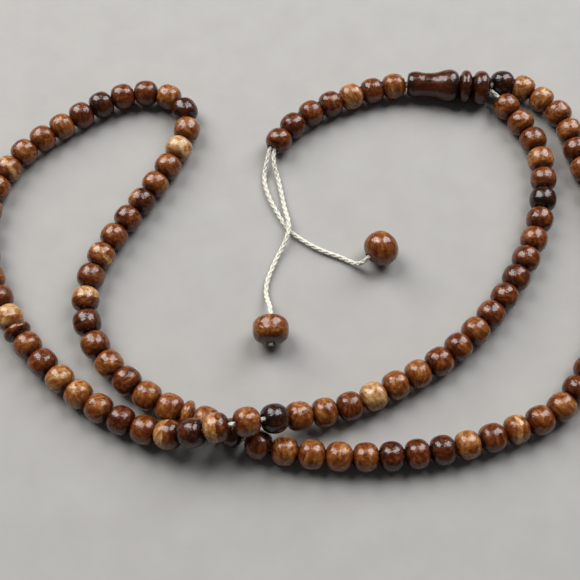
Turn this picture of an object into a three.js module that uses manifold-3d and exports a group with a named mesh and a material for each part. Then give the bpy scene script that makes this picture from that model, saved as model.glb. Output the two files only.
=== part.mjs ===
// A string of wooden prayer beads lying in a loose double loop on a flat surface.
// Ninety-nine small turned beads in three sections of thirty-three, with a thin separator disc after
// the first and the second section. Both ends of the one cord pass through two rings, a waisted leader
// and seven tail beads, then lie free, cross once, and each ends in a larger bead held by a knot.
// Millimetres, +Z up. The origin is the middle of the wooden pieces' footprint, on the surface.

import * as THREE from 'three';
import { mergeVertices } from 'three/addons/utils/BufferGeometryUtils.js';
import Module from 'manifold-3d';

const wasm = await Module();
wasm.setup();

// ---------------------------------------------------------------- driving dimensions

const BEADS_PER_SECTION = 33;
const BEADS_PER_RUN = 11;
const TAIL_BEADS = 7;

// belt is the length at full radius; the shoulder is a radius and its distance in from the end face
const BEAD = { length: 6.7, radius: 4.1, belt: 2.4, shoulder: [3.35, 0.65], rim: 1.9, sides: 10 };
const LEFT_END_BEAD = { length: 8.3, radius: 5.35, belt: 2.8, shoulder: [4.4, 0.9], rim: 2.6, sides: 12 };
const RIGHT_END_BEAD = { length: 9.5, radius: 5.5, belt: 3.0, shoulder: [4.3, 1.1], rim: 2.4, sides: 12 };
const SEPARATOR = { length: 3.0, radius: 4.1, belt: 1.4, rim: 3.3, sides: 10 };
const INNER_RING = { length: 5.2, radius: 5.45, belt: 2.2, shoulder: [4.9, 0.6], rim: 4.0, sides: 12 };
const OUTER_RING = { length: 4.0, radius: 5.25, belt: 1.2, shoulder: [4.7, 0.5], rim: 3.8, sides: 12 };
const LEADER = { length: 16.2, sides: 12 };
// radius and distance along the leader, from the ring side to the tail side
const LEADER_OUTLINE = [
  [3.8, -8.1], [4.9, -7.0], [5.25, -4.9], [4.8, -3.0], [4.15, -1.0],
  [3.9, 0.8], [3.9, 2.8], [4.2, 4.4], [4.2, 6.2], [3.4, 8.1],
];

const CORD_RADIUS = 0.7;
const CORD_SIDES = 8;
const SINGLE_BORE = 1.2;
const DOUBLE_BORE = 1.7;
const STRAND_OFFSET = 0.75;
const STRAND_START = 0.8;
const SLEEVE = { outer: 1.65, bore: 1.25, sides: 4 };
const KNOT = { radius: 1.0, length: 1.8 };

// room between neighbours on the cord, and extra room at a bend for the rims that close up there
const SECTION_GAPS = [0.43, 0.49, 0.25];
const SEPARATOR_GAP = 0.4;
const TAIL_GAP = 0.45;
const RING_GAP = 0.3;
const BEND_ROOM = 1.6;
// spare cord that shows before a few beads, by section and bead
const SPARE_CORD = {
  '1-23': 0.5, '1-24': 0.6, '2-4': 0.5, '2-5': 0.5, '2-6': 0.5, '2-7': 0.5,
  '3-2': 0.9, '3-3': 0.9,
};
// a few beads of the third section are longer than the rest
const LONG_BEADS = { '3-4': 0.4, '3-5': 0.4, '3-6': 0.4, '3-12': 0.4, '3-14': 0.4 };
const SPARE_AT_TAIL = 0.4;
const FREE_START = 3.7;

// ---------------------------------------------------------------- the cord's route

// the loop, from the inner ring's mouth and back to it
const LOOP_ROUTE = [
  [62.3, 59.15, 5.3], [63.55, 58.15, 4.9], [65.4, 56.5, 4.2], [67.4, 52.9, 3.9], [71.6, 46.9, 3.9],
  [74.8, 40.6, 3.9], [76.2, 30.0, 3.9], [74.5, 16.0, 3.9], [69.1, 1.2, 3.9], [60.6, -13.4, 3.9],
  [50.8, -25.0, 3.9], [39.8, -34.4, 3.9], [27.2, -41.4, 3.9], [13.5, -48.0, 3.9], [-0.1, -51.0, 5.2],
  [-6.7, -53.0, 9.4], [-14.0, -55.0, 12.6], [-22.0, -56.6, 12.5], [-29.7, -57.4, 9.2], [-36.8, -56.4, 5.3],
  [-43.4, -54.3, 3.9], [-55.3, -48.4, 3.9], [-66.8, -40.0, 3.9], [-77.0, -29.9, 3.9], [-83.0, -21.8, 3.9],
  [-90.8, -7.6, 3.9], [-94.6, 7.5, 3.9], [-93.4, 22.5, 3.9], [-86.4, 36.1, 3.9], [-74.5, 46.5, 3.9],
  [-62.5, 55.1, 3.9], [-55.6, 58.3, 3.9], [-48.2, 59.6, 3.9], [-40.8, 57.9, 3.9], [-35.7, 52.3, 3.9],
  [-34.8, 44.9, 3.9], [-40.4, 31.1, 3.9], [-47.6, 18.9, 3.9], [-58.0, 1.4, 3.9], [-62.4, -13.2, 3.9],
  [-59.2, -27.6, 3.9], [-49.2, -39.5, 3.9], [-36.3, -48.1, 3.9], [-25.2, -51.8, 3.9], [-11.5, -58.7, 3.9],
  [3.5, -61.5, 3.9], [18.4, -62.2, 3.9], [32.2, -61.3, 3.9], [46.4, -58.7, 3.9], [60.1, -54.2, 3.9],
  [72.6, -48.6, 3.9], [79.0, -40.5, 3.9], [90.1, -22.5, 3.9], [95.4, -1.5, 3.9], [93.8, 18.0, 3.9],
  [88.2, 31.7, 3.9], [86.8, 42.7, 3.9], [83.4, 52.0, 3.9], [75.6, 59.2, 3.9], [70.6, 63.2, 3.9],
  [66.6, 63.9, 4.2], [63.3, 62.7, 4.8], [62.35, 60.8, 5.3],
];
// the middle line of the tail, from the inner ring's mouth to the last tail bead's far end
const TAIL_ROUTE = [
  [61.8, 59.95, 5.3], [56.2, 60.5, 5.3], [48.2, 61.35, 5.1], [35.8, 62.45, 4.35], [31.4, 62.15, 3.9],
  [24.4, 60.2, 3.9], [17.6, 58.1, 3.9], [10.7, 54.9, 3.9], [4.2, 51.4, 3.9], [-2.2, 46.3, 3.9],
  [-6.1, 40.4, 3.9], [-8.4, 36.6, 3.9],
];
// the two strands between the last tail bead and the place where they cross
const LOWER_STRAND_ROUTE = [
  [-9.7, 34.0, 2.5], [-10.5, 30.2, 0.9], [-10.2, 26.0, 0.75], [-8.6, 20.8, 0.75], [-6.2, 15.8, 0.75],
  [-4.5, 12.6, 0.75], [-3.0, 10.3, 0.75],
];
const UPPER_STRAND_ROUTE = [
  [-7.5, 33.0, 2.7], [-6.4, 29.2, 1.0], [-5.3, 24.0, 0.75], [-4.4, 19.0, 0.85], [-3.6, 15.2, 1.6],
  [-3.0, 12.6, 2.25], [-2.8, 10.3, 2.4],
];
// each strand's free end, from the crossing to its end bead; the lower strand goes right
const RIGHT_END_ROUTE = [
  [-2.8, 9.8, 0.75], [-0.6, 8.0, 0.75], [2.2, 5.9, 0.75], [5.2, 4.0, 0.75], [8.7, 2.3, 0.75],
  [12.6, 0.7, 0.75], [15.2, -0.7, 0.9], [17.4, -2.1, 2.0], [19.1, -2.6, 3.9], [20.7, -1.8, 5.25],
];
const LEFT_END_ROUTE = [
  [-2.8, 9.8, 2.4], [-3.3, 7.4, 2.2], [-4.4, 4.6, 1.4], [-6.2, 1.0, 0.8], [-7.9, -3.2, 0.75],
  [-9.2, -7.2, 0.75], [-9.6, -11.0, 0.9], [-9.1, -14.2, 2.0], [-8.4, -17.0, 3.9], [-8.1, -20.2, 5.12],
];
// where each end bead lies, which way its cord's tip points, and how far the tip stands out of it
const RIGHT_END = { at: [24.6, 1.3, 5.3], toward: [0.78, 0.62, 0], tip: -0.3 };
const LEFT_END = { at: [-8.0, -25.0, 5.16], toward: [0.03, -1, 0], tip: 1.3 };

// ---------------------------------------------------------------- colours

const WOOD = { mid: 0x8a4a22, dark: 0x3e1d10, light: 0xb98048, leader: 0x4a2313, disc: 0x55301c };
const CORD_COLOUR = 0xe6e2d2;
const DARK_BEADS = ['1-6', '1-22', '1-25', '1-28'];
const LIGHT_BEADS = ['1-18', '1-27', 'tail-1', 'tail-3'];

function wood(shade) {
  return new THREE.MeshStandardMaterial({ color: WOOD[shade], roughness: 0.32, metalness: 0 });
}

function cotton() {
  return new THREE.MeshStandardMaterial({ color: CORD_COLOUR, roughness: 0.9, metalness: 0 });
}

function beadShade(label) {
  if (DARK_BEADS.includes(label)) return 'dark';
  if (LIGHT_BEADS.includes(label)) return 'light';
  return 'mid';
}

// ---------------------------------------------------------------- curves and places on them

const vector = (point) => new THREE.Vector3(...point);

function smoothCurve(route) {
  const curve = new THREE.CatmullRomCurve3(route.map(vector), false, 'catmullrom', 0.5);
  curve.arcLengthDivisions = route.length * 40;
  return curve;
}

// a chain of straight stretches, with its corners where the points are
class Chain extends THREE.Curve {
  constructor(points) {
    super();
    this.points = points;
  }

  getPoint(share) {
    const reach = share * (this.points.length - 1);
    const index = Math.min(Math.floor(reach), this.points.length - 2);
    return this.points[index].clone().lerp(this.points[index + 1], reach - index);
  }

  getPointAt(share) {
    return this.getPoint(share);
  }

  getTangentAt(share) {
    const last = this.points.length - 1;
    const index = Math.round(share * last);
    const before = this.points[Math.max(index - 1, 0)];
    const here = this.points[index];
    const after = this.points[Math.min(index + 1, last)];
    const arriving = here.clone().sub(before).normalize();
    const leaving = after.clone().sub(here).normalize();
    return arriving.add(leaving).normalize();
  }
}

// Gives each piece a slot on the curve, one after another. A slot holds the piece's spare cord, length and
// gap, and the room that its rims need at a bend. The piece lies on the straight line between its slot's
// ends, at the end away from its spare cord.
function stringPieces(curve, start, pieces) {
  const length = curve.getLength();
  const pointAt = (distance) => curve.getPointAt(Math.min(distance / length, 1));
  const tangentAt = (distance) => curve.getTangentAt(Math.min(distance / length, 1));
  let reached = start;
  return pieces.map((piece) => {
    const spare = piece.spare ?? 0;
    const straightEnd = reached + piece.length + piece.gap + spare;
    const turn = tangentAt(reached).angleTo(tangentAt(straightEnd));
    const from = pointAt(reached);
    reached = straightEnd + BEND_ROOM * turn;
    const to = pointAt(reached);
    const axis = to.clone().sub(from).normalize();
    const room = to.distanceTo(from) - spare;
    const centre = to.clone().addScaledVector(axis, -room / 2);
    return { ...piece, from, to, centre, axis, reached };
  });
}

// turns a solid's own +Y to the axis, and keeps one of its flat sides facing down
function placeOnAxis(object, centre, axis) {
  const side = axis.clone().cross(new THREE.Vector3(0, 0, 1)).normalize();
  const up = side.clone().cross(axis);
  object.quaternion.setFromRotationMatrix(new THREE.Matrix4().makeBasis(side, axis, up));
  object.position.copy(centre);
  object.updateMatrix();
  return object;
}

// ---------------------------------------------------------------- shapes

function beadOutline({ length, radius, belt, shoulder, rim }) {
  const half = [[rim, length / 2], [radius, belt / 2]];
  if (shoulder) half.splice(1, 0, [shoulder[0], length / 2 - shoulder[1]]);
  const mirrored = half.map(([corner, height]) => [corner, -height]);
  return [...mirrored, ...half.reverse()];
}

function turnedSolid(outline, sides, bore) {
  const first = outline[0];
  const last = outline[outline.length - 1];
  const closed = [[bore, first[1]], ...outline, [bore, last[1]]];
  if (bore > 0) closed.push([bore, first[1]]);
  const profile = closed.map(([radius, height]) => new THREE.Vector2(radius, height));
  return new THREE.LatheGeometry(profile, sides, Math.PI / sides);
}

function tube(points, radius, sides) {
  const corners = [];
  for (let index = 0; index < sides; index += 1) {
    const angle = ((index + 0.5) / sides) * 2 * Math.PI;
    corners.push(new THREE.Vector2(radius * Math.cos(angle), radius * Math.sin(angle)));
  }
  return new THREE.ExtrudeGeometry(new THREE.Shape(corners), {
    steps: points.length - 1,
    extrudePath: new Chain(points),
    bevelEnabled: false,
  });
}

function toManifold(geometry, matrix = new THREE.Matrix4()) {
  const bare = geometry.clone().applyMatrix4(matrix);
  bare.deleteAttribute('normal');
  bare.deleteAttribute('uv');
  const merged = mergeVertices(bare, 1e-5);
  return new wasm.Manifold(new wasm.Mesh({
    numProp: 3,
    vertProperties: new Float32Array(merged.attributes.position.array),
    triVerts: new Uint32Array(merged.index.array),
  }));
}

function toGeometry(manifold) {
  const mesh = manifold.getMesh();
  const geometry = new THREE.BufferGeometry();
  geometry.setAttribute('position', new THREE.BufferAttribute(mesh.vertProperties, 3));
  geometry.setIndex(new THREE.BufferAttribute(mesh.triVerts, 1));
  geometry.computeVertexNormals();
  return geometry;
}

// ---------------------------------------------------------------- pieces

function namedMesh(name, geometry, material) {
  const mesh = new THREE.Mesh(geometry, material);
  mesh.name = name;
  return mesh;
}

function singlePiece(slot, outline, sides, bore) {
  const mesh = namedMesh(slot.name, turnedSolid(outline, sides, bore), wood(slot.shade));
  return placeOnAxis(mesh, slot.centre, slot.axis);
}

// neighbouring beads joined by a hidden sleeve, with the cord's way bored through them all
function beadRun(name, slots) {
  const inner = slots.slice(1).map((slot) => slot.from);
  const first = slots[0];
  const last = slots[slots.length - 1];
  const sleevePath = [first.centre, ...inner, last.centre];
  const borePath = [first.from, ...inner, last.to];
  let solid = toManifold(tube(sleevePath, SLEEVE.outer, SLEEVE.sides));
  slots.forEach((slot) => {
    const place = placeOnAxis(new THREE.Object3D(), slot.centre, slot.axis).matrix;
    solid = solid.add(toManifold(turnedSolid(beadOutline(slot), slot.sides, 0), place));
  });
  const bored = solid.subtract(toManifold(tube(borePath, SLEEVE.bore, SLEEVE.sides)));
  return namedMesh(name, toGeometry(bored), wood('mid'));
}

// ---------------------------------------------------------------- the loop

function beadSize(label) {
  const extra = LONG_BEADS[label] ?? 0;
  return { ...BEAD, length: BEAD.length + extra, belt: BEAD.belt + extra };
}

function loopPieces() {
  const pieces = [];
  for (let section = 1; section <= SECTION_GAPS.length; section += 1) {
    for (let bead = 1; bead <= BEADS_PER_SECTION; bead += 1) {
      const label = `${section}-${bead}`;
      pieces.push({
        section,
        bead,
        name: `section_${section}_bead_${String(bead).padStart(2, '0')}`,
        shade: beadShade(label),
        ...beadSize(label),
        gap: SECTION_GAPS[section - 1],
        spare: SPARE_CORD[label],
      });
    }
    if (section < SECTION_GAPS.length) {
      pieces.push({
        name: `separator_${section}`,
        shade: 'disc',
        length: SEPARATOR.length,
        gap: SEPARATOR_GAP,
      });
    }
  }
  return pieces;
}

function loopCordPoints(curve, slots) {
  const length = curve.getLength();
  const lastSlot = slots[slots.length - 1];
  const at = (distance) => curve.getPointAt(distance / length);
  const lead = [0, 0.5].map((share) => at(share * FREE_START));
  return [...lead, ...slots.map((slot) => slot.from), lastSlot.to, at(length)];
}

function buildLoop() {
  const loop = new THREE.Group();
  const curve = smoothCurve(LOOP_ROUTE);
  const slots = stringPieces(curve, FREE_START, loopPieces());
  slots.filter((slot) => slot.section === 1).forEach((slot) => {
    loop.add(singlePiece(slot, beadOutline(slot), slot.sides, SINGLE_BORE));
  });
  slots.filter((slot) => slot.section === undefined).forEach((slot) => {
    loop.add(singlePiece(slot, beadOutline(SEPARATOR), SEPARATOR.sides, SINGLE_BORE));
  });
  [2, 3].forEach((section) => {
    const beads = slots.filter((slot) => slot.section === section);
    for (let run = 0; run < BEADS_PER_SECTION / BEADS_PER_RUN; run += 1) {
      const members = beads.slice(run * BEADS_PER_RUN, (run + 1) * BEADS_PER_RUN);
      loop.add(beadRun(`section_${section}_run_${run + 1}`, members));
    }
  });
  loop.add(namedMesh('loop_cord', tube(loopCordPoints(curve, slots), CORD_RADIUS, CORD_SIDES), cotton()));
  return loop;
}

// ---------------------------------------------------------------- the tail

function tailPieces() {
  const pieces = [
    { name: 'ring_inner', shade: 'leader', ...INNER_RING, gap: RING_GAP, outline: beadOutline(INNER_RING) },
    { name: 'ring_outer', shade: 'leader', ...OUTER_RING, gap: RING_GAP, outline: beadOutline(OUTER_RING) },
    { name: 'leader', shade: 'leader', ...LEADER, gap: RING_GAP, outline: LEADER_OUTLINE },
  ];
  for (let bead = 1; bead <= TAIL_BEADS; bead += 1) {
    pieces.push({
      name: `tail_bead_${bead}`,
      shade: beadShade(`tail-${bead}`),
      ...BEAD,
      gap: TAIL_GAP,
      spare: bead === 1 ? SPARE_AT_TAIL : 0,
      outline: beadOutline(BEAD),
    });
  }
  return pieces;
}

// the corner points of one of the two strands inside the tail, to one side of the middle line
function strandInTail(slots, side) {
  const start = slots[0].from.clone().addScaledVector(slots[0].axis, STRAND_START);
  const corners = [start, ...slots.slice(1).map((slot) => slot.from), slots[slots.length - 1].to];
  return corners.map((corner, index) => {
    const slot = slots[Math.min(index, slots.length - 1)];
    const sideways = new THREE.Vector3(slot.axis.y, -slot.axis.x, 0).normalize();
    return corner.clone().addScaledVector(sideways, side * STRAND_OFFSET);
  });
}

function strandNode(name, slots, side, route) {
  const points = [...strandInTail(slots, side), ...route.map(vector)];
  return namedMesh(name, tube(points, CORD_RADIUS, CORD_SIDES), cotton());
}

function buildTail() {
  const tail = new THREE.Group();
  const slots = stringPieces(smoothCurve(TAIL_ROUTE), 0, tailPieces());
  slots.forEach((slot) => tail.add(singlePiece(slot, slot.outline, slot.sides, DOUBLE_BORE)));
  tail.add(strandNode('tail_strand_lower', slots, 1, LOWER_STRAND_ROUTE));
  tail.add(strandNode('tail_strand_upper', slots, -1, UPPER_STRAND_ROUTE));
  return tail;
}

// ---------------------------------------------------------------- the two free ends

// a strand from the crossing through its end bead, with a knot drawn into the far end of the bore
function endStrand(name, route, bead, end) {
  const centre = vector(end.at);
  const toward = vector(end.toward).normalize();
  const along = (distance) => centre.clone().addScaledVector(toward, distance);
  const knotCentre = along(bead.length / 2 - KNOT.length / 2 - 0.4);
  const points = [...route.map(vector), knotCentre, along(bead.length / 2 + end.tip)];
  const knotOutline = beadOutline({ length: KNOT.length, radius: KNOT.radius, belt: 0.8, rim: 0.5 });
  const place = placeOnAxis(new THREE.Object3D(), knotCentre, toward).matrix;
  const knot = toManifold(turnedSolid(knotOutline, CORD_SIDES, 0), place);
  const strand = toManifold(tube(points, CORD_RADIUS, CORD_SIDES)).add(knot);
  return namedMesh(name, toGeometry(strand), cotton());
}

function endBead(name, bead, end) {
  const geometry = turnedSolid(beadOutline(bead), bead.sides, SINGLE_BORE);
  const mesh = namedMesh(name, geometry, wood('mid'));
  return placeOnAxis(mesh, vector(end.at), vector(end.toward).normalize());
}

function buildEnds() {
  const ends = new THREE.Group();
  ends.add(endStrand('end_strand_left', LEFT_END_ROUTE, LEFT_END_BEAD, LEFT_END));
  ends.add(endBead('end_bead_left', LEFT_END_BEAD, LEFT_END));
  ends.add(endStrand('end_strand_right', RIGHT_END_ROUTE, RIGHT_END_BEAD, RIGHT_END));
  ends.add(endBead('end_bead_right', RIGHT_END_BEAD, RIGHT_END));
  return ends;
}

// ---------------------------------------------------------------- the whole string of beads

const prayerBeads = new THREE.Group();
prayerBeads.add(buildLoop());
prayerBeads.add(buildTail());
prayerBeads.add(buildEnds());

export default prayerBeads;
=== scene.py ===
# A string of lacquered wooden prayer beads on an off-white braided cord, in a loose double loop.
# Every bead, ring and disc is a turned piece of its own; the cord is braided from six yarns.

import math
import random

import bpy
import numpy as np
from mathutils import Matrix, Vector, noise


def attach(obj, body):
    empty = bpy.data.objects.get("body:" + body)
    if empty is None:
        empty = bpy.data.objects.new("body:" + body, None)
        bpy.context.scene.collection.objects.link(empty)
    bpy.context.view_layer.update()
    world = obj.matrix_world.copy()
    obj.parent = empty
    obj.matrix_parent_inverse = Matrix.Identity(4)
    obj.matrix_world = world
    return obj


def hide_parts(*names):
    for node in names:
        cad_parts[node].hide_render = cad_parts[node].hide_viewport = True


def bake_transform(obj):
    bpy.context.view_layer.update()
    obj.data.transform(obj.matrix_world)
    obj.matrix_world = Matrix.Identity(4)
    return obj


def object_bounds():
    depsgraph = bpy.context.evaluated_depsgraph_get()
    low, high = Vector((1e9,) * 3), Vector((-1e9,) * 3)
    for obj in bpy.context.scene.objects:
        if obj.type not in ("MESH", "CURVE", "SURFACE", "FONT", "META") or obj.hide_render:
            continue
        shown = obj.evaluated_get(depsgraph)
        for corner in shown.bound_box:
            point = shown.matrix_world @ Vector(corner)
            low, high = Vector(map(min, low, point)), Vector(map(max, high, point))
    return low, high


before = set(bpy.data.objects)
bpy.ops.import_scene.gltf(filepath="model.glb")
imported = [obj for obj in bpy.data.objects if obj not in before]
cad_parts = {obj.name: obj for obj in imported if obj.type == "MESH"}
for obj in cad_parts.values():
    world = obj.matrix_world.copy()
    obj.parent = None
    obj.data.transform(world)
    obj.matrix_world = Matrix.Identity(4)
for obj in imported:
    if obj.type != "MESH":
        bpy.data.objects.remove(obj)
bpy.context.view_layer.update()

# ---------------------------------------------------------------- sizes, in metres

BEADS_PER_SECTION = 33
BEADS_PER_RUN = 11
TAIL_BEADS = 7
BEAD_LENGTH = 0.0067  # with the gap beside it, this sets the pitch along the cord
LONGEST_BEAD = 0.0075
BEAD_RADIUS = 0.00413
BEAD_END_MARGIN = 0.0006  # how far the flat of a bead's end reaches out past its bore
SEPARATOR_LENGTH = 0.0030
SEPARATOR_RADIUS = 0.0041
SEPARATOR_END_RADIUS = 0.0024
INNER_RING_LENGTH = 0.0052
INNER_RING_RADIUS = 0.00546
INNER_RING_END_RADIUS = 0.0034
OUTER_RING_LENGTH = 0.0040
OUTER_RING_RADIUS = 0.00528
OUTER_RING_END_RADIUS = 0.0032
LEADER_LENGTH = 0.0162
LEFT_END_RADIUS = 0.00525
RIGHT_END_RADIUS = 0.0054
LEFT_END_LENGTH = 0.0083
RIGHT_END_LENGTH = 0.0095
END_BEAD_FLAT = 0.0016

SINGLE_BORE = 0.0011
DOUBLE_BORE = 0.0017
RING_BORE = 0.0019  # a little wider, so that the cord clears the ring as the tail swings
BORE_EDGE = 0.00025  # how much a bore's edge is rounded
STRAND_OFFSET = 0.00075  # from the middle line of the tail to the middle of a strand
STRAND_START = 0.0008  # from the inner ring's mouth to where the strands begin
LEFT_TIP = 0.0007  # how far the cord's end stands out of its end bead
RIGHT_TIP = -0.0004

# room between neighbours: in the three sections, beside a disc, in the tail and at the rings
SECTION_GAPS = (0.00043, 0.00049, 0.00025)
SEPARATOR_GAP = 0.0004
TAIL_GAP = 0.00045
RING_GAP = 0.0003
BEND_ROOM = 0.0016  # more room for the rims, for each radian that the cord turns
FREE_START = 0.0037  # bare cord between the inner ring's mouth and the first bead
# spare cord before a bead, for (section, bead) and for the first bead of the tail
SPARE_CORD = {
    (1, 23): 0.0005, (1, 24): 0.0006,
    (2, 4): 0.0005, (2, 5): 0.0005, (2, 6): 0.0005, (2, 7): 0.0005,
    (3, 2): 0.0009, (3, 3): 0.0009,
}
SPARE_AT_TAIL = 0.0004
# how much longer than the rest a few beads are
LONG_BEADS = {(3, 4): 0.0004, (3, 5): 0.0004, (3, 6): 0.0004, (3, 12): 0.0004, (3, 14): 0.0004}

# the wood's and the cotton's textures are laid out in millimetres
MILLIMETRES = 1000

# ---------------------------------------------------------------- the cord's route

# the loop, from the inner ring's mouth and back to it
LOOP_ROUTE = [
    (0.0623, 0.05915, 0.0053), (0.06355, 0.05815, 0.0049), (0.0654, 0.0565, 0.0042),
    (0.0674, 0.0529, 0.0039), (0.0716, 0.0469, 0.0039), (0.0748, 0.0406, 0.0039),
    (0.0762, 0.03, 0.0039), (0.0745, 0.016, 0.0039), (0.0691, 0.0012, 0.0039),
    (0.0606, -0.0134, 0.0039), (0.0508, -0.025, 0.0039), (0.0398, -0.0344, 0.0039),
    (0.0272, -0.0414, 0.0039), (0.0135, -0.048, 0.0039), (-0.0001, -0.051, 0.0052),
    (-0.0067, -0.053, 0.0094), (-0.014, -0.055, 0.0126), (-0.022, -0.0566, 0.0125),
    (-0.0297, -0.0574, 0.0092), (-0.0368, -0.0564, 0.0053), (-0.0434, -0.0543, 0.0039),
    (-0.0553, -0.0484, 0.0039), (-0.0668, -0.04, 0.0039), (-0.077, -0.0299, 0.0039),
    (-0.083, -0.0218, 0.0039), (-0.0908, -0.0076, 0.0039), (-0.0946, 0.0075, 0.0039),
    (-0.0934, 0.0225, 0.0039), (-0.0864, 0.0361, 0.0039), (-0.0745, 0.0465, 0.0039),
    (-0.0625, 0.0551, 0.0039), (-0.0556, 0.0583, 0.0039), (-0.0482, 0.0596, 0.0039),
    (-0.0408, 0.0579, 0.0039), (-0.0357, 0.0523, 0.0039), (-0.0348, 0.0449, 0.0039),
    (-0.0404, 0.0311, 0.0039), (-0.0476, 0.0189, 0.0039), (-0.058, 0.0014, 0.0039),
    (-0.0624, -0.0132, 0.0039), (-0.0592, -0.0276, 0.0039), (-0.0492, -0.0395, 0.0039),
    (-0.0363, -0.0481, 0.0039), (-0.0252, -0.0518, 0.0039), (-0.0115, -0.0587, 0.0039),
    (0.0035, -0.0615, 0.0039), (0.0184, -0.0622, 0.0039), (0.0322, -0.0613, 0.0039),
    (0.0464, -0.0587, 0.0039), (0.0601, -0.0542, 0.0039), (0.0726, -0.0486, 0.0039),
    (0.079, -0.0405, 0.0039), (0.0901, -0.0225, 0.0039), (0.0954, -0.0015, 0.0039),
    (0.0938, 0.018, 0.0039), (0.0882, 0.0317, 0.0039), (0.0868, 0.0427, 0.0039),
    (0.0834, 0.052, 0.0039), (0.0756, 0.0592, 0.0039), (0.0706, 0.0632, 0.0039),
    (0.0666, 0.0639, 0.0042), (0.0633, 0.0627, 0.0048), (0.06235, 0.0608, 0.0053),
]
# the middle line of the tail, from the inner ring's mouth to the last tail bead's far end
TAIL_ROUTE = [
    (0.0618, 0.05995, 0.0053), (0.0562, 0.0605, 0.0053), (0.0482, 0.06135, 0.0051),
    (0.0358, 0.06245, 0.00435), (0.0314, 0.06215, 0.0039), (0.0244, 0.0602, 0.0039),
    (0.0176, 0.0581, 0.0039), (0.0107, 0.0549, 0.0039), (0.0042, 0.0514, 0.0039),
    (-0.0022, 0.0463, 0.0039), (-0.0061, 0.0404, 0.0039), (-0.0084, 0.0366, 0.0039),
]
# the two strands between the last tail bead and the place where they cross
LOWER_STRAND_ROUTE = [
    (-0.0097, 0.034, 0.0025), (-0.0105, 0.0302, 0.0009), (-0.0102, 0.026, 0.00075),
    (-0.0086, 0.0208, 0.00075), (-0.0062, 0.0158, 0.00075), (-0.0045, 0.0126, 0.00075),
    (-0.003, 0.0103, 0.00075),
]
UPPER_STRAND_ROUTE = [
    (-0.0075, 0.033, 0.0027), (-0.0064, 0.0292, 0.001), (-0.0053, 0.024, 0.00075),
    (-0.0044, 0.019, 0.00085), (-0.0036, 0.0152, 0.0016), (-0.003, 0.0126, 0.00225),
    (-0.0028, 0.0103, 0.0024),
]
# each strand's free end, from the crossing to its end bead; the lower strand goes right
RIGHT_END_ROUTE = [
    (-0.0028, 0.0098, 0.00075), (-0.0006, 0.008, 0.00075), (0.0022, 0.0059, 0.00075),
    (0.0052, 0.004, 0.00075), (0.0087, 0.0023, 0.00075), (0.0126, 0.0007, 0.00075),
    (0.0152, -0.0007, 0.0009), (0.0174, -0.0021, 0.002), (0.0191, -0.0026, 0.0039),
    (0.0207, -0.0018, 0.00525),
]
LEFT_END_ROUTE = [
    (-0.0028, 0.0098, 0.0024), (-0.0033, 0.0074, 0.0022), (-0.0044, 0.0046, 0.0014),
    (-0.0062, 0.001, 0.0008), (-0.0079, -0.0032, 0.00075), (-0.0092, -0.0072, 0.00075),
    (-0.0096, -0.011, 0.0009), (-0.0091, -0.0142, 0.002), (-0.0084, -0.017, 0.0039),
    (-0.0081, -0.0202, 0.00512),
]

# where the two end beads lie, and which way each strand runs into its bead
RIGHT_END_CENTRE = Vector((0.0246, 0.0013, 0.0053))
RIGHT_END_TOWARD = Vector((0.78, 0.62, 0.0)).normalized()
LEFT_END_CENTRE = Vector((-0.0080, -0.0250, 0.00516))
LEFT_END_TOWARD = Vector((0.03, -1.0, 0.0)).normalized()


class Route:
    """A smooth curve through corners, measured along its length."""

    STEPS = 40

    def __init__(self, corners):
        given = [Vector(corner) for corner in corners]
        before = 2 * given[0] - given[1]
        after = 2 * given[-1] - given[-2]
        padded = [before, *given, after]
        points = [given[0]]
        for index in range(1, len(padded) - 2):
            for step in range(1, self.STEPS + 1):
                points.append(self.between(padded[index - 1:index + 3], step / self.STEPS))
        self.points = np.array(points)
        legs = np.linalg.norm(np.diff(self.points, axis=0), axis=1)
        self.reach = np.concatenate([[0.0], np.cumsum(legs)])
        self.length = float(self.reach[-1])

    @staticmethod
    def between(near, share):
        """The point on the stretch between the second and third of four corners."""
        leaving = (near[2] - near[0]) / 2
        arriving = (near[3] - near[1]) / 2
        gap = near[2] - near[1]
        square = 3 * gap - 2 * leaving - arriving
        cube = leaving + arriving - 2 * gap
        return near[1] + leaving * share + square * share**2 + cube * share**3

    def at(self, distance):
        """The point that far along the curve."""
        return Vector([np.interp(distance, self.reach, self.points[:, axis]) for axis in range(3)])

    def heading(self, distance):
        """The curve's direction at that distance."""
        probe = 0.00005
        here = min(max(distance, probe), self.length - probe)
        return (self.at(here + probe) - self.at(here - probe)).normalized()


class Slot:
    """A piece's stretch of cord: the piece lies on the straight line between its two ends."""

    def __init__(self, name, begin, end, spare=0.0):
        self.name = name
        self.begin = begin
        self.end = end
        self.axis = (end - begin).normalized()
        self.spare = spare
        self.room = (end - begin).length - spare
        self.centre = end - self.axis * self.room / 2


def string_pieces(route, start, pieces):
    """Gives each (name, length, gap, spare) its slot, one after another along the route."""
    reached = start
    slots = []
    for name, length, gap, spare in pieces:
        straight_end = reached + length + gap + spare
        turn = route.heading(reached).angle(route.heading(straight_end))
        begin = route.at(reached)
        reached = straight_end + BEND_ROOM * turn
        slots.append(Slot(name, begin, route.at(reached), spare))
    return slots


def loop_pieces():
    """The loop's three sections of beads, with a disc between one section and the next."""
    pieces = []
    for section, gap in enumerate(SECTION_GAPS, start=1):
        for bead in range(1, BEADS_PER_SECTION + 1):
            spare = SPARE_CORD.get((section, bead), 0.0)
            length = BEAD_LENGTH + LONG_BEADS.get((section, bead), 0.0)
            pieces.append((f"bead_{section}_{bead:02d}", length, gap, spare))
        if section < len(SECTION_GAPS):
            pieces.append((f"separator_disc_{section}", SEPARATOR_LENGTH, SEPARATOR_GAP, 0.0))
    return pieces


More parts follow.
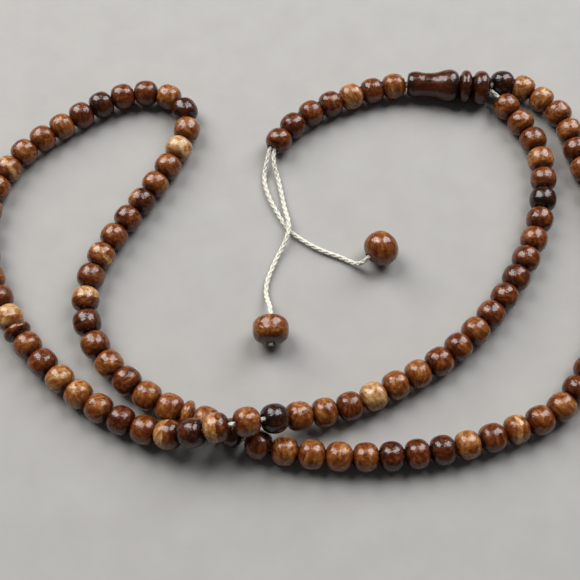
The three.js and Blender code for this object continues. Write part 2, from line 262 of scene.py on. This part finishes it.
def tail_pieces():
    """The rings, the leader and the beads of the tail."""
    pieces = [
        ("inner_ring", INNER_RING_LENGTH, RING_GAP, 0.0),
        ("outer_ring", OUTER_RING_LENGTH, RING_GAP, 0.0),
        ("leader_turning", LEADER_LENGTH, RING_GAP, 0.0),
    ]
    for bead in range(1, TAIL_BEADS + 1):
        spare = SPARE_AT_TAIL if bead == 1 else 0.0
        pieces.append((f"bead_tail_{bead}", BEAD_LENGTH, TAIL_GAP, spare))
    return pieces


# ---------------------------------------------------------------- camera

def make_camera():
    """Looks down at the string from the side of the two free ends."""
    data = bpy.data.cameras.new("camera")
    data.sensor_width = 36.0
    data.lens = 62.07
    data.clip_start = 0.01
    camera = bpy.data.objects.new("camera", data)
    camera.location = (-0.0025, -0.1402, 0.2672)
    camera.rotation_euler = (math.radians(26.0), 0.0, 0.0)
    bpy.context.collection.objects.link(camera)
    bpy.context.scene.camera = camera


# ---------------------------------------------------------------- nodes

class Shading:
    """A short way to lay out a node material."""

    def __init__(self, name):
        self.material = bpy.data.materials.new(name)
        self.material.use_nodes = True
        self.tree = self.material.node_tree
        self.tree.nodes.clear()
        self.shader = self.node("ShaderNodeBsdfPrincipled")
        output = self.node("ShaderNodeOutputMaterial")
        self.link(self.shader.outputs["BSDF"], output.inputs["Surface"])

    def node(self, kind, inputs=None, **settings):
        """Adds a node. Each input is a plain value, or a socket to link from."""
        made = self.tree.nodes.new(kind)
        for key, value in settings.items():
            setattr(made, key, value)
        for key, value in (inputs or {}).items():
            if isinstance(value, bpy.types.NodeSocket):
                self.link(value, made.inputs[key])
            else:
                made.inputs[key].default_value = value
        return made

    def link(self, source, target):
        self.tree.links.new(source, target)

    def attribute(self, name, output="Fac"):
        return self.node("ShaderNodeAttribute", attribute_name=name).outputs[output]

    def math(self, operation, first, second):
        return self.node("ShaderNodeMath", {0: first, 1: second}, operation=operation).outputs[0]

    def noise(self, vector, scale, detail, roughness=0.5, distortion=0.0):
        inputs = {
            "Vector": vector, "Scale": scale, "Detail": detail,
            "Roughness": roughness, "Distortion": distortion,
        }
        return self.node("ShaderNodeTexNoise", inputs).outputs["Fac"]

    def stretched(self, vector, scale):
        made = self.node("ShaderNodeVectorMath", {0: vector, 1: scale}, operation="MULTIPLY")
        return made.outputs[0]

    def range(self, value, low, high, to_low=0.0, to_high=1.0):
        """Maps low to to_low and high to to_high, and holds what lies outside."""
        inputs = {
            "Value": value, "From Min": low, "From Max": high,
            "To Min": to_low, "To Max": to_high,
        }
        return self.node("ShaderNodeMapRange", inputs).outputs[0]

    def ramp(self, value, stops):
        made = self.node("ShaderNodeValToRGB", {"Fac": value})
        elements = made.color_ramp.elements
        while len(elements) < len(stops):
            elements.new(0.5)
        for element, (place, colour) in zip(elements, stops):
            element.position = place
            element.color = (*colour, 1.0)
        return made.outputs["Color"]

    def bump(self, height, strength, distance, normal=None):
        inputs = {"Height": height, "Strength": strength, "Distance": distance}
        if normal is not None:
            inputs["Normal"] = normal
        return self.node("ShaderNodeBump", inputs).outputs["Normal"]


# ---------------------------------------------------------------- materials

# the wood's colours, from the darkest bead's shade to the lightest one's
WOOD_COLOURS = [
    (0.00, (0.006, 0.002, 0.001)),
    (0.22, (0.026, 0.005, 0.0008)),
    (0.45, (0.090, 0.0175, 0.0018)),
    (0.66, (0.180, 0.055, 0.010)),
    (0.84, (0.290, 0.136, 0.042)),
    (1.00, (0.430, 0.272, 0.130)),
]
# how far the fibres and the pores move the shade, and how much painted shadow darkens a piece's ends
# where it meets its neighbours
FIBRE_SHADE = 0.10
PORE_SHADE = 0.12
PAINTED_END_SHADOW = 0.22

COTTON_COLOURS = [
    (0.00, (0.46, 0.43, 0.35)),
    (0.45, (0.62, 0.60, 0.52)),
    (1.00, (0.72, 0.71, 0.65)),
]
FLOOR_COLOURS = [
    (0.3, (0.290, 0.283, 0.272)),
    (0.7, (0.310, 0.303, 0.291)),
]


def piece_shade(shading, block):
    """The piece's own shade, or its other shade past a wandering boundary."""
    wander = shading.noise(block, 0.55, detail=3.0, roughness=0.6, distortion=0.6)
    strayed = shading.range(wander, 0.0, 1.0, -0.9, 0.9)
    boundary = shading.math("ADD", shading.attribute("split"), strayed)
    past = shading.range(boundary, -0.12, 0.12)
    shades = {"Factor": past, 2: shading.attribute("shade"), 3: shading.attribute("other")}
    return shading.node("ShaderNodeMix", shades).outputs[0]


def figured_shade(shading, block, fine, patches, streaks):
    """The piece's shade with the wood's clouds, streaks, fibres and pores, and painted shadow darkening
    its ends.
    """
    cloud = shading.noise(block, 0.30, detail=3.0, roughness=0.55, distortion=0.8)
    along = shading.stretched(block, (1.0, 1.0, 0.16))
    figure = shading.noise(along, 0.95, detail=3.0, roughness=0.55, distortion=0.4)
    pores = shading.noise(shading.stretched(block, (7.0, 7.0, 0.7)), 1.0, detail=1.0)
    shade = piece_shade(shading, block)
    shade = shading.math("ADD", shade, shading.range(cloud, 0.25, 0.75, -patches, patches))
    shade = shading.math("ADD", shade, shading.range(figure, 0.25, 0.75, -streaks, streaks))
    shade = shading.math("ADD", shade, shading.range(fine, 0.2, 0.8, -FIBRE_SHADE, FIBRE_SHADE))
    shade = shading.math("SUBTRACT", shade, shading.range(pores, 0.62, 0.74, 0.0, PORE_SHADE))
    # painted shadow: each piece is darkened towards its ends, where it meets its neighbours
    end_shadow = shading.math("MULTIPLY", shading.attribute("ends"), PAINTED_END_SHADOW)
    return shading.math("SUBTRACT", shade, end_shadow)


def lacquered_wood(name, patches, streaks):
    """Turned wood under gloss lacquer. The mesh says where in its block of wood each point lies."""
    shading = Shading(name)
    block = shading.attribute("grain", "Vector")
    fibres = shading.stretched(block, (4.5, 4.5, 0.35))
    fine = shading.noise(fibres, 1.0, detail=3.0, roughness=0.6, distortion=0.1)
    colour = shading.ramp(figured_shade(shading, block, fine, patches, streaks), WOOD_COLOURS)
    shader = shading.shader
    shading.link(colour, shader.inputs["Base Color"])
    shading.link(shading.range(fine, 0.2, 0.8, 0.30, 0.46), shader.inputs["Roughness"])
    shader.inputs["Specular IOR Level"].default_value = 0.05
    shader.inputs["Coat Weight"].default_value = 1.0
    shader.inputs["Coat Roughness"].default_value = 0.17
    shader.inputs["Coat IOR"].default_value = 1.46
    ripple = shading.noise(block, 0.70, detail=2.0)
    rippled = shading.bump(ripple, strength=0.70, distance=0.00028)
    grained = shading.bump(fine, strength=0.45, distance=0.00005, normal=rippled)
    coated = shading.bump(fine, strength=0.30, distance=0.00003, normal=rippled)
    shading.link(grained, shader.inputs["Normal"])
    shading.link(coated, shader.inputs["Coat Normal"])
    return shading.material


def cotton(name):
    """Off-white braided cotton: each yarn shows its twisted fibres."""
    shading = Shading(name)
    yarn = shading.attribute("yarn", "Vector")
    twisted = shading.stretched(yarn, (0.9, 9.0, 1.0))
    fibres = shading.noise(twisted, 1.0, detail=3.0, roughness=0.6, distortion=0.3)
    soil = shading.noise(yarn, 0.12, detail=3.0, roughness=0.6)
    clean = shading.range(soil, 0.2, 0.8, 0.6, 1.0)
    depth = shading.math("MULTIPLY", shading.range(fibres, 0.3, 0.7), clean)
    shader = shading.shader
    shading.link(shading.ramp(depth, COTTON_COLOURS), shader.inputs["Base Color"])
    shader.inputs["Roughness"].default_value = 0.85
    shader.inputs["Sheen Weight"].default_value = 0.35
    shader.inputs["Sheen Roughness"].default_value = 0.5
    raised = shading.bump(fibres, strength=0.7, distance=0.00006)
    shading.link(raised, shader.inputs["Normal"])
    return shading.material


def plain_floor(name):
    """A matt pale surface with a barely visible mottle."""
    shading = Shading(name)
    place = shading.node("ShaderNodeTexCoord").outputs["Object"]
    mottle = shading.noise(place, 90.0, detail=4.0, roughness=0.6)
    shading.link(shading.ramp(mottle, FLOOR_COLOURS), shading.shader.inputs["Base Color"])
    shading.shader.inputs["Roughness"].default_value = 0.9
    shading.shader.inputs["Specular IOR Level"].default_value = 0.2
    return shading.material


# ---------------------------------------------------------------- meshes

def mesh_object(name, points, faces, material):
    """A smooth-shaded mesh, linked into the scene."""
    mesh = bpy.data.meshes.new(name)
    mesh.from_pydata([tuple(point) for point in points], [], faces)
    mesh.polygons.foreach_set("use_smooth", [True] * len(mesh.polygons))
    mesh.materials.append(material)
    mesh.update()
    made = bpy.data.objects.new(name, mesh)
    bpy.context.collection.objects.link(made)
    return made


def paint(made, name, values):
    """Stores one number, or one vector, for each point of the mesh."""
    values = np.asarray(values, np.float32)
    kind = "FLOAT_VECTOR" if values.ndim == 2 else "FLOAT"
    attribute = made.data.attributes.new(name, kind, "POINT")
    attribute.data.foreach_set("vector" if values.ndim == 2 else "value", values.ravel())


def grid_faces(rows, columns):
    """Quads of a grid that closes on itself both ways."""
    faces = []
    for row in range(rows):
        below = (row + 1) % rows
        for column in range(columns):
            beside = (column + 1) % columns
            faces.append((
                row * columns + column, below * columns + column,
                below * columns + beside, row * columns + beside,
            ))
    return faces


def tube_faces(rings, sides, first):
    """Quads of a tube of rings that starts at the point numbered first, and a face at each end."""
    faces = []
    for ring in range(rings - 1):
        for side in range(sides):
            beside = (side + 1) % sides
            here = first + ring * sides
            faces.append((here + side, here + beside, here + sides + beside, here + sides + side))
    faces.append(tuple(first + side for side in reversed(range(sides))))
    faces.append(tuple(first + (rings - 1) * sides + side for side in range(sides)))
    return faces


# ---------------------------------------------------------------- cords

BRAID_STRANDS = 3  # yarns laid each way round
BRAID_PITCH = 0.0066  # the cord's length for one turn of a yarn
BRAID_RADIUS = 0.00037  # from the cord's middle to a yarn's middle
BRAID_WEAVE = 0.00009  # how far a yarn moves out and in, to go over and under the others
YARN_RADIUS = 0.00029
YARN_SPREAD = 7.0  # how far apart the yarns lie in the cotton's texture
FIBRE_TWIST = 2600  # how far the fibres turn round their yarn, in radians a metre
LOOP_YARN_SIDES = 5
STRAND_YARN_SIDES = 8
LOOP_STEP = 0.00035
LOOP_EASING = 8
STRAND_STEP = 0.00013


def resampled(points, step):
    """The same line in even steps."""
    points = np.array([tuple(point) for point in points])
    reach = np.concatenate([[0.0], np.cumsum(np.linalg.norm(np.diff(points, axis=0), axis=1))])
    even = np.linspace(0.0, reach[-1], max(int(reach[-1] / step), 2))
    return np.stack([np.interp(even, reach, points[:, axis]) for axis in range(3)], axis=1)


def eased(points, passes):
    """Rounds a line's corners, and keeps its two ends."""
    for _ in range(passes):
        inner = (points[:-2] + 2 * points[1:-1] + points[2:]) / 4
        points = np.concatenate([points[:1], inner, points[-1:]])
    return points


def carried_frames(points):
    """A direction, and two directions across it that turn as little as they can, at each point."""
    along = np.gradient(points, axis=0)
    along /= np.linalg.norm(along, axis=1)[:, None]
    across = np.empty_like(along)
    start = np.cross(along[0], (0.0, 0.0, 1.0))
    across[0] = start / np.linalg.norm(start)
    for index in range(1, len(points)):
        kept = across[index - 1] - along[index] * (across[index - 1] @ along[index])
        across[index] = kept / np.linalg.norm(kept)
    return along, across, np.cross(along, across)


def braided_cord(name, line, sides, material):
    """Six yarns, three each way round, each going over one and under the next."""
    _, across, upward = carried_frames(line)
    travelled = np.concatenate([[0.0], np.cumsum(np.linalg.norm(np.diff(line, axis=0), axis=1))])
    turn = 2 * math.pi * travelled / BRAID_PITCH
    around = np.linspace(0.0, 2 * math.pi, sides, endpoint=False)
    points, faces, yarns = [], [], []
    for way in (1, -1):
        for strand in range(BRAID_STRANDS):
            angle = way * turn + 2 * math.pi * strand / BRAID_STRANDS
            radius = BRAID_RADIUS + way * BRAID_WEAVE * np.cos(BRAID_STRANDS * turn)
            outward = np.cos(angle)[:, None] * across + np.sin(angle)[:, None] * upward
            centre = line + radius[:, None] * outward
            run = np.gradient(centre, axis=0)
            run /= np.linalg.norm(run, axis=1)[:, None]
            beside = np.cross(run, outward)
            beside /= np.linalg.norm(beside, axis=1)[:, None]
            lifted = np.cross(beside, run)
            ring = (
                centre[:, None, :]
                + YARN_RADIUS * np.cos(around)[None, :, None] * lifted[:, None, :]
                + YARN_RADIUS * np.sin(around)[None, :, None] * beside[:, None, :]
            )
            faces += tube_faces(len(line), sides, len(points) * len(line) * sides)
            points.append(ring.reshape(-1, 3))
            fibre = np.stack(np.broadcast_arrays(
                travelled[:, None] * MILLIMETRES,
                around[None, :] + travelled[:, None] * FIBRE_TWIST,
                np.full((1, sides), YARN_SPREAD * len(points)),
            ), axis=2)
            yarns.append(fibre.reshape(-1, 3))
    made = mesh_object(name, np.concatenate(points), faces, material)
    paint(made, "yarn", np.concatenate(yarns))
    return made


def loop_line(slots):
    """The cord's line from the inner ring's mouth through every piece of the loop and back."""
    lead = [LOOP.at(0.0), LOOP.at(FREE_START / 2)]
    corners = [*lead, *[slot.begin for slot in slots], slots[-1].end, LOOP.at(LOOP.length)]
    return eased(resampled(corners, LOOP_STEP), LOOP_EASING)


def strand_line(slots, side, free_route, end_route, end_centre, end_toward, end_length, tip):
    """One strand's line through the tail, over the surface to its end bead and through it."""
    inside = [slots[0].begin + slots[0].axis * STRAND_START]
    inside += [slot.begin for slot in slots[1:]] + [slots[-1].end]
    corners = []
    for index, corner in enumerate(inside):
        axis = slots[min(index, len(slots) - 1)].axis
        sideways = Vector((axis.y, -axis.x, 0.0)).normalized()
        corners.append(corner + sideways * side * STRAND_OFFSET)
    corners += [Vector(point) for point in free_route]
    corners += [Vector(point) for point in end_route]
    corners += [end_centre, end_centre + end_toward * (end_length / 2 + tip)]
    return resampled(Route(corners).points, STRAND_STEP)


# ---------------------------------------------------------------- turned pieces

def rounded_half(half_length, radius, squareness, fullness, flat, steps):
    """A barrel's outline from its middle to the flat of its end, as (along, radius)."""
    outline = [(0.0, radius)]
    for step in range(1, steps + 1):
        angle = (math.pi / 2) * step / steps
        out = radius * max(math.cos(angle), 0.0) ** (2 / fullness)
        if out > flat:
            outline.append((half_length * math.sin(angle) ** (2 / squareness), out))
    return [*outline, (half_length, flat)]


def barrel(length, radius, squareness, fullness, flat, steps=13):
    """A whole barrel's outline. Squareness and fullness of 2 make an ellipse, and more fills its rims."""
    half = rounded_half(length / 2, radius, squareness, fullness, flat, steps)
    return [(-along, out) for along, out in reversed(half[1:])] + half


def with_bore(outline, bore, steps=4):
    """Closes an outline round the bore, whose edges are a little rounded."""
    edge = BORE_EDGE
    far = outline[-1][0]
    near = outline[0][0]
    angles = [(math.pi / 2) * step / steps for step in range(steps + 1)]
    closed = list(outline)
    for angle in angles:
        closed.append((far - edge + edge * math.cos(angle), bore + edge - edge * math.sin(angle)))
    for angle in angles:
        closed.append((near + edge - edge * math.sin(angle), bore + edge - edge * math.cos(angle)))
    return closed


def block_axes(draw, fibres_along_bore):
    """Three directions in the block of wood that the piece is turned from, the fibres' one last."""
    lean = draw.gauss(0.0, 0.30)
    roll = draw.uniform(0.0, 2 * math.pi)
    along, across = math.sin(lean), math.cos(lean)
    if fibres_along_bore:
        along, across = 1.0, 0.06
    fibre = Vector((along, across * math.cos(roll), across * math.sin(roll)))
    fibre.normalize()
    beside = fibre.orthogonal().normalized()
    return beside, fibre.cross(beside), fibre


# how a turned piece strays from round, as shares of its radius, and how fine its lumps are
LUMPINESS = 0.010
LUMPS_PER_METRE = 420
MOST_OVAL = 0.012
UNDERSIZE = 0.008
# the painted shadow at a piece's ends begins this share of the way from its middle to its end
PAINTED_SHADOW_FROM = 0.6  # of the way from a piece's middle to its end


def uneven(along, out, bore, around, draw):
    """The points of a turned piece round its axis, a little lumpy and oval outside its bore."""
    turn = np.linspace(0.0, 2 * math.pi, around, endpoint=False)
    seed = Vector([draw.uniform(-50, 50) for _ in range(3)])
    oval = draw.uniform(0.0, MOST_OVAL)
    oval_turn = draw.uniform(0.0, math.pi)
    points = np.empty((len(along), around, 3))
    reach = out.max()
    for row in range(len(along)):
        freedom = min(max(out[row] - bore, 0.0) / reach * 1.4, 1.0)
        for column, angle in enumerate(turn):
            across = out[row] * math.cos(angle)
            upward = out[row] * math.sin(angle)
            lump = noise.noise(Vector((along[row], across, upward)) * LUMPS_PER_METRE + seed)
            bulge = lump * LUMPINESS + oval * math.cos(2 * (angle - oval_turn))
            swell = 1.0 + bulge * freedom - UNDERSIZE
            points[row, column] = (along[row], across * swell, upward * swell)
    return points.reshape(-1, 3)


def turned(name, outline, bore, slot, material, around=48, fibres_along_bore=False):
    """A piece turned round its bore, with its place in a block of wood."""
    draw = random.Random(name)
    closed = np.array(with_bore(outline, bore))
    points = uneven(closed[:, 0], closed[:, 1], bore, around, draw)
    side = slot.axis.cross(Vector((0.0, 0.0, 1.0))).normalized()
    up = side.cross(slot.axis)
    placed = (
        np.array(slot.centre)
        + points[:, :1] * np.array(slot.axis)
        + points[:, 1:2] * np.array(side)
        + points[:, 2:] * np.array(up)
    )
    made = mesh_object(name, placed, grid_faces(len(closed), around), material)
    axes = np.array([tuple(axis) for axis in block_axes(draw, fibres_along_bore)])
    offset = np.array([draw.uniform(-90.0, 90.0) for _ in range(3)])
    shade, other, how = WOOD_KINDS[wood_letter(name)]
    nudge = draw.uniform(-0.03, 0.03)
    endward = np.abs(points[:, 0]) / abs(closed[:, 0]).max()
    paint(made, "grain", points @ axes.T * MILLIMETRES + offset)
    paint(made, "shade", np.full(len(points), shade + nudge))
    paint(made, "other", np.full(len(points), other + nudge))
    paint(made, "split", split_distance(points, how, draw))
    # the ends attribute carries the painted shadow that darkens each piece towards its ends
    paint(made, "ends", np.clip((endward - PAINTED_SHADOW_FROM) / (1 - PAINTED_SHADOW_FROM), 0.0, 1.0))
    return made


# one letter for each bead's wood, in the order of stringing, section by section
BEAD_WOODS = {
    "1": "oorgrkrorbr" "rorroolrook" "oTdTrboggro",
    "2": "lrobroosooo" "rdrrmdolooh" "rosrtdroroo",
    "3": "obroooodbdg" "rsrobrgorob" "orgrorooggk",
    "tail": "orgrrbr",
}
OTHER_WOODS = {
    "separator_disc_1": "b", "separator_disc_2": "o", "inner_ring": "R", "outer_ring": "R",
    "leader_turning": "R", "end_bead_turned_left": "o", "end_bead_turned_right": "o",
}
# what a letter means: the wood's shade, the shade of its other part, and how the two meet
WOOD_KINDS = {
    "k": (0.11, 0.11, "whole"), "d": (0.27, 0.27, "whole"), "b": (0.38, 0.38, "whole"),
    "r": (0.47, 0.47, "whole"), "o": (0.60, 0.60, "whole"), "g": (0.73, 0.73, "whole"),
    "l": (0.86, 0.86, "whole"), "R": (0.27, 0.27, "whole"), "m": (0.42, 0.70, "side"),
    "h": (0.30, 0.68, "side"), "T": (0.45, 0.80, "far"), "t": (0.42, 0.84, "near"),
    "s": (0.58, 0.84, "band"),
}


def wood_letter(name):
    """The letter of the wood that a piece is made of."""
    if name in OTHER_WOODS:
        return OTHER_WOODS[name]
    _, section, number = name.split("_")
    return BEAD_WOODS[section][int(number) - 1]


def split_distance(points, how, draw):
    """How far each point, in mm, lies inside the part of the piece that has the other shade."""
    roll = draw.uniform(0.0, 2 * math.pi)
    along, sideways, upward = points.T * MILLIMETRES
    if how == "far":
        return along + 0.2 * upward
    if how == "near":
        return -along + 0.15 * upward
    if how == "band":
        return 0.7 - np.abs(along * 0.9 + 0.3 * sideways)
    if how == "side":
        return 0.4 * along + 0.9 * (sideways * math.cos(roll) + upward * math.sin(roll))
    return np.full(len(points), -99.0)


def turned_bead(name, slot, bore, body, node):
    """A small bead. One that can slide is shorter, and lies at the far end of its room."""
    draw = random.Random("size " + name)
    length = min(slot.room, LONGEST_BEAD) * draw.uniform(0.985, 1.0)
    if slot.spare > 0.0 and body != "loop":
        length = max(slot.room - slot.spare, BEAD_LENGTH)
        slot.centre = slot.end - slot.axis * length / 2
    outline = barrel(
        length,
        radius=BEAD_RADIUS * draw.uniform(0.985, 1.01),
        squareness=draw.uniform(2.2, 2.5),
        fullness=draw.uniform(2.7, 3.2),
        flat=bore + BEAD_END_MARGIN,
    )
    made = turned(name, outline, bore, slot, WOOD)
    finish_piece(made, body, node)


def finish_piece(made, body, node):
    """Puts a piece on its body, and hides the CAD node that it stands for."""
    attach(made, body)
    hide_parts(node)


def node_of(name):
    """The CAD node that a bead or disc stands for."""
    kind, section, number = name.rsplit("_", 2)
    if kind == "separator":
        return f"separator_{number}"
    if section == "tail":
        return f"tail_bead_{number}"
    if section == "1":
        return f"section_1_bead_{number}"
    run = (int(number) - 1) // BEADS_PER_RUN + 1
    return f"section_{section}_run_{run}"


def make_loop(slots):
    """The loop's beads and discs. A bead that is part of a run rides on the loop itself."""
    for slot in slots:
        node = node_of(slot.name)
        body = "loop" if "_run_" in node else node
        if slot.name.startswith("separator"):
            outline = barrel(
                SEPARATOR_LENGTH + SEPARATOR_GAP, SEPARATOR_RADIUS,
                squareness=2.3, fullness=2.9, flat=SEPARATOR_END_RADIUS,
            )
            made = turned(slot.name, outline, SINGLE_BORE, slot, WOOD)
            finish_piece(made, body, node)
        else:
            turned_bead(slot.name, slot, SINGLE_BORE, body, node)


# the leader's outline from its end by the rings, as (distance from its middle, radius)
LEADER_OUTLINE = [
    (-0.00822, 0.0026), (-0.00820, 0.0033), (-0.00803, 0.00392), (-0.00755, 0.00455),
    (-0.00680, 0.00498), (-0.00590, 0.00522), (-0.00500, 0.00526), (-0.00390, 0.00507),
    (-0.00270, 0.00468), (-0.00140, 0.00428), (-0.00020, 0.00403), (0.00100, 0.00392),
    (0.00230, 0.00388), (0.00330, 0.00396), (0.00420, 0.00412), (0.00500, 0.00421),
    (0.00580, 0.00421), (0.00660, 0.00412), (0.00735, 0.00388), (0.00790, 0.00345),
    (0.00816, 0.00290), (0.00822, 0.0024),
]


def make_tail(slots):
    """The two rings and the leader, of one dark wood, and the beads of the tail."""
    inner_outline = barrel(
        INNER_RING_LENGTH + RING_GAP, INNER_RING_RADIUS,
        squareness=2.5, fullness=3.2, flat=INNER_RING_END_RADIUS,
    )
    outer_outline = barrel(
        OUTER_RING_LENGTH + RING_GAP, OUTER_RING_RADIUS,
        squareness=2.3, fullness=3.0, flat=OUTER_RING_END_RADIUS,
    )
    dark_parts = {
        "inner_ring": ("ring_inner", RING_BORE, inner_outline),
        "outer_ring": ("ring_outer", RING_BORE, outer_outline),
        "leader_turning": ("leader", DOUBLE_BORE, LEADER_OUTLINE),
    }
    for slot in slots:
        if slot.name in dark_parts:
            node, bore, outline = dark_parts[slot.name]
            made = turned(
                slot.name, outline, bore, slot, DARK_WOOD,
                around=72, fibres_along_bore=True,
            )
            finish_piece(made, node, node)
        else:
            node = node_of(slot.name)
            turned_bead(slot.name, slot, DOUBLE_BORE, node, node)


def make_end_bead(name, centre, toward, length, radius, squareness, node):
    """A larger bead at the end of a strand, which runs into it in the direction of toward."""
    slot = Slot(name, centre - toward * length / 2, centre + toward * length / 2)
    outline = barrel(length, radius, squareness, fullness=2.3, flat=END_BEAD_FLAT, steps=16)
    made = turned(name, outline, SINGLE_BORE, slot, WOOD, around=64)
    finish_piece(made, node, node)


def make_cords(loop_slots, tail_slots):
    """The loop's cord and the two strands: each follows the tail, and past the crossing its own end."""
    line = loop_line(loop_slots)
    cord = braided_cord("braided_loop_cord", line, LOOP_YARN_SIDES, COTTON)
    finish_piece(cord, "loop", "loop_cord")
    strands = [
        ("braided_strand_left", -1, UPPER_STRAND_ROUTE, LEFT_END_ROUTE, LEFT_END_CENTRE,
         LEFT_END_TOWARD, LEFT_END_LENGTH, LEFT_TIP, "upper", "end_left"),
        ("braided_strand_right", 1, LOWER_STRAND_ROUTE, RIGHT_END_ROUTE, RIGHT_END_CENTRE,
         RIGHT_END_TOWARD, RIGHT_END_LENGTH, RIGHT_TIP, "lower", "end_right"),
    ]
    for name, side, free, end, centre, toward, length, tip, strand, body in strands:
        line = strand_line(tail_slots, side, free, end, centre, toward, length, tip)
        cord = braided_cord(name, line, STRAND_YARN_SIDES, COTTON)
        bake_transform(cord)
        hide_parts(f"tail_strand_{strand}", body.replace("end_", "end_strand_"))


# ---------------------------------------------------------------- floor and light

def make_floor():
    """A wide level sheet under the lowest point of the string."""
    size = 3.0
    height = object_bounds()[0][2]
    square = ((-size, -size), (size, -size), (size, size), (-size, size))
    corners = [(x, y, height) for x, y in square]
    floor = mesh_object("floor", corners, [(0, 1, 2, 3)], plain_floor("plain floor"))


def area_light(name, place, width, height, power, colour):
    """A rectangle of light that faces the middle of the string."""
    data = bpy.data.lights.new(name, "AREA")
    data.shape = "RECTANGLE"
    data.size = width
    data.size_y = height
    data.energy = power
    data.color = colour
    light = bpy.data.objects.new(name, data)
    light.location = place
    light.rotation_euler = (-Vector(place)).to_track_quat("-Z", "Y").to_euler()
    bpy.context.collection.objects.link(light)


def make_light():
    """Two tall panes of window light, side by side behind the string, and a soft room round it."""
    area_light(
        "window left", (-0.62, 0.60, 0.88),
        width=0.74, height=1.10, power=22.2, colour=(1.0, 0.985, 0.96),
    )
    area_light(
        "window right", (0.60, 0.64, 0.88),
        width=0.70, height=1.10, power=19.8, colour=(0.98, 0.985, 1.0),
    )
    world = bpy.data.worlds.new("room")
    world.use_nodes = True
    background = world.node_tree.nodes["Background"]
    background.inputs["Color"].default_value = (0.95, 0.98, 1.0, 1.0)
    background.inputs["Strength"].default_value = 0.08
    bpy.context.scene.world = world


# ---------------------------------------------------------------- the scene

bpy.context.scene.view_settings.view_transform = "Standard"
make_camera()
WOOD = lacquered_wood("lacquered bead wood", patches=0.16, streaks=0.24)
DARK_WOOD = lacquered_wood("lacquered leader wood", patches=0.12, streaks=0.16)
COTTON = cotton("braided cotton")
LOOP = Route(LOOP_ROUTE)
loop_slots = string_pieces(LOOP, FREE_START, loop_pieces())
tail_slots = string_pieces(Route(TAIL_ROUTE), 0.0, tail_pieces())
make_cords(loop_slots, tail_slots)
make_loop(loop_slots)
make_tail(tail_slots)
make_end_bead(
    "end_bead_turned_left", LEFT_END_CENTRE, LEFT_END_TOWARD, LEFT_END_LENGTH, LEFT_END_RADIUS,
    squareness=2.9, node="end_bead_left",
)
make_end_bead(
    "end_bead_turned_right", RIGHT_END_CENTRE, RIGHT_END_TOWARD, RIGHT_END_LENGTH, RIGHT_END_RADIUS,
    squareness=2.1, node="end_bead_right",
)
make_floor()
make_light()
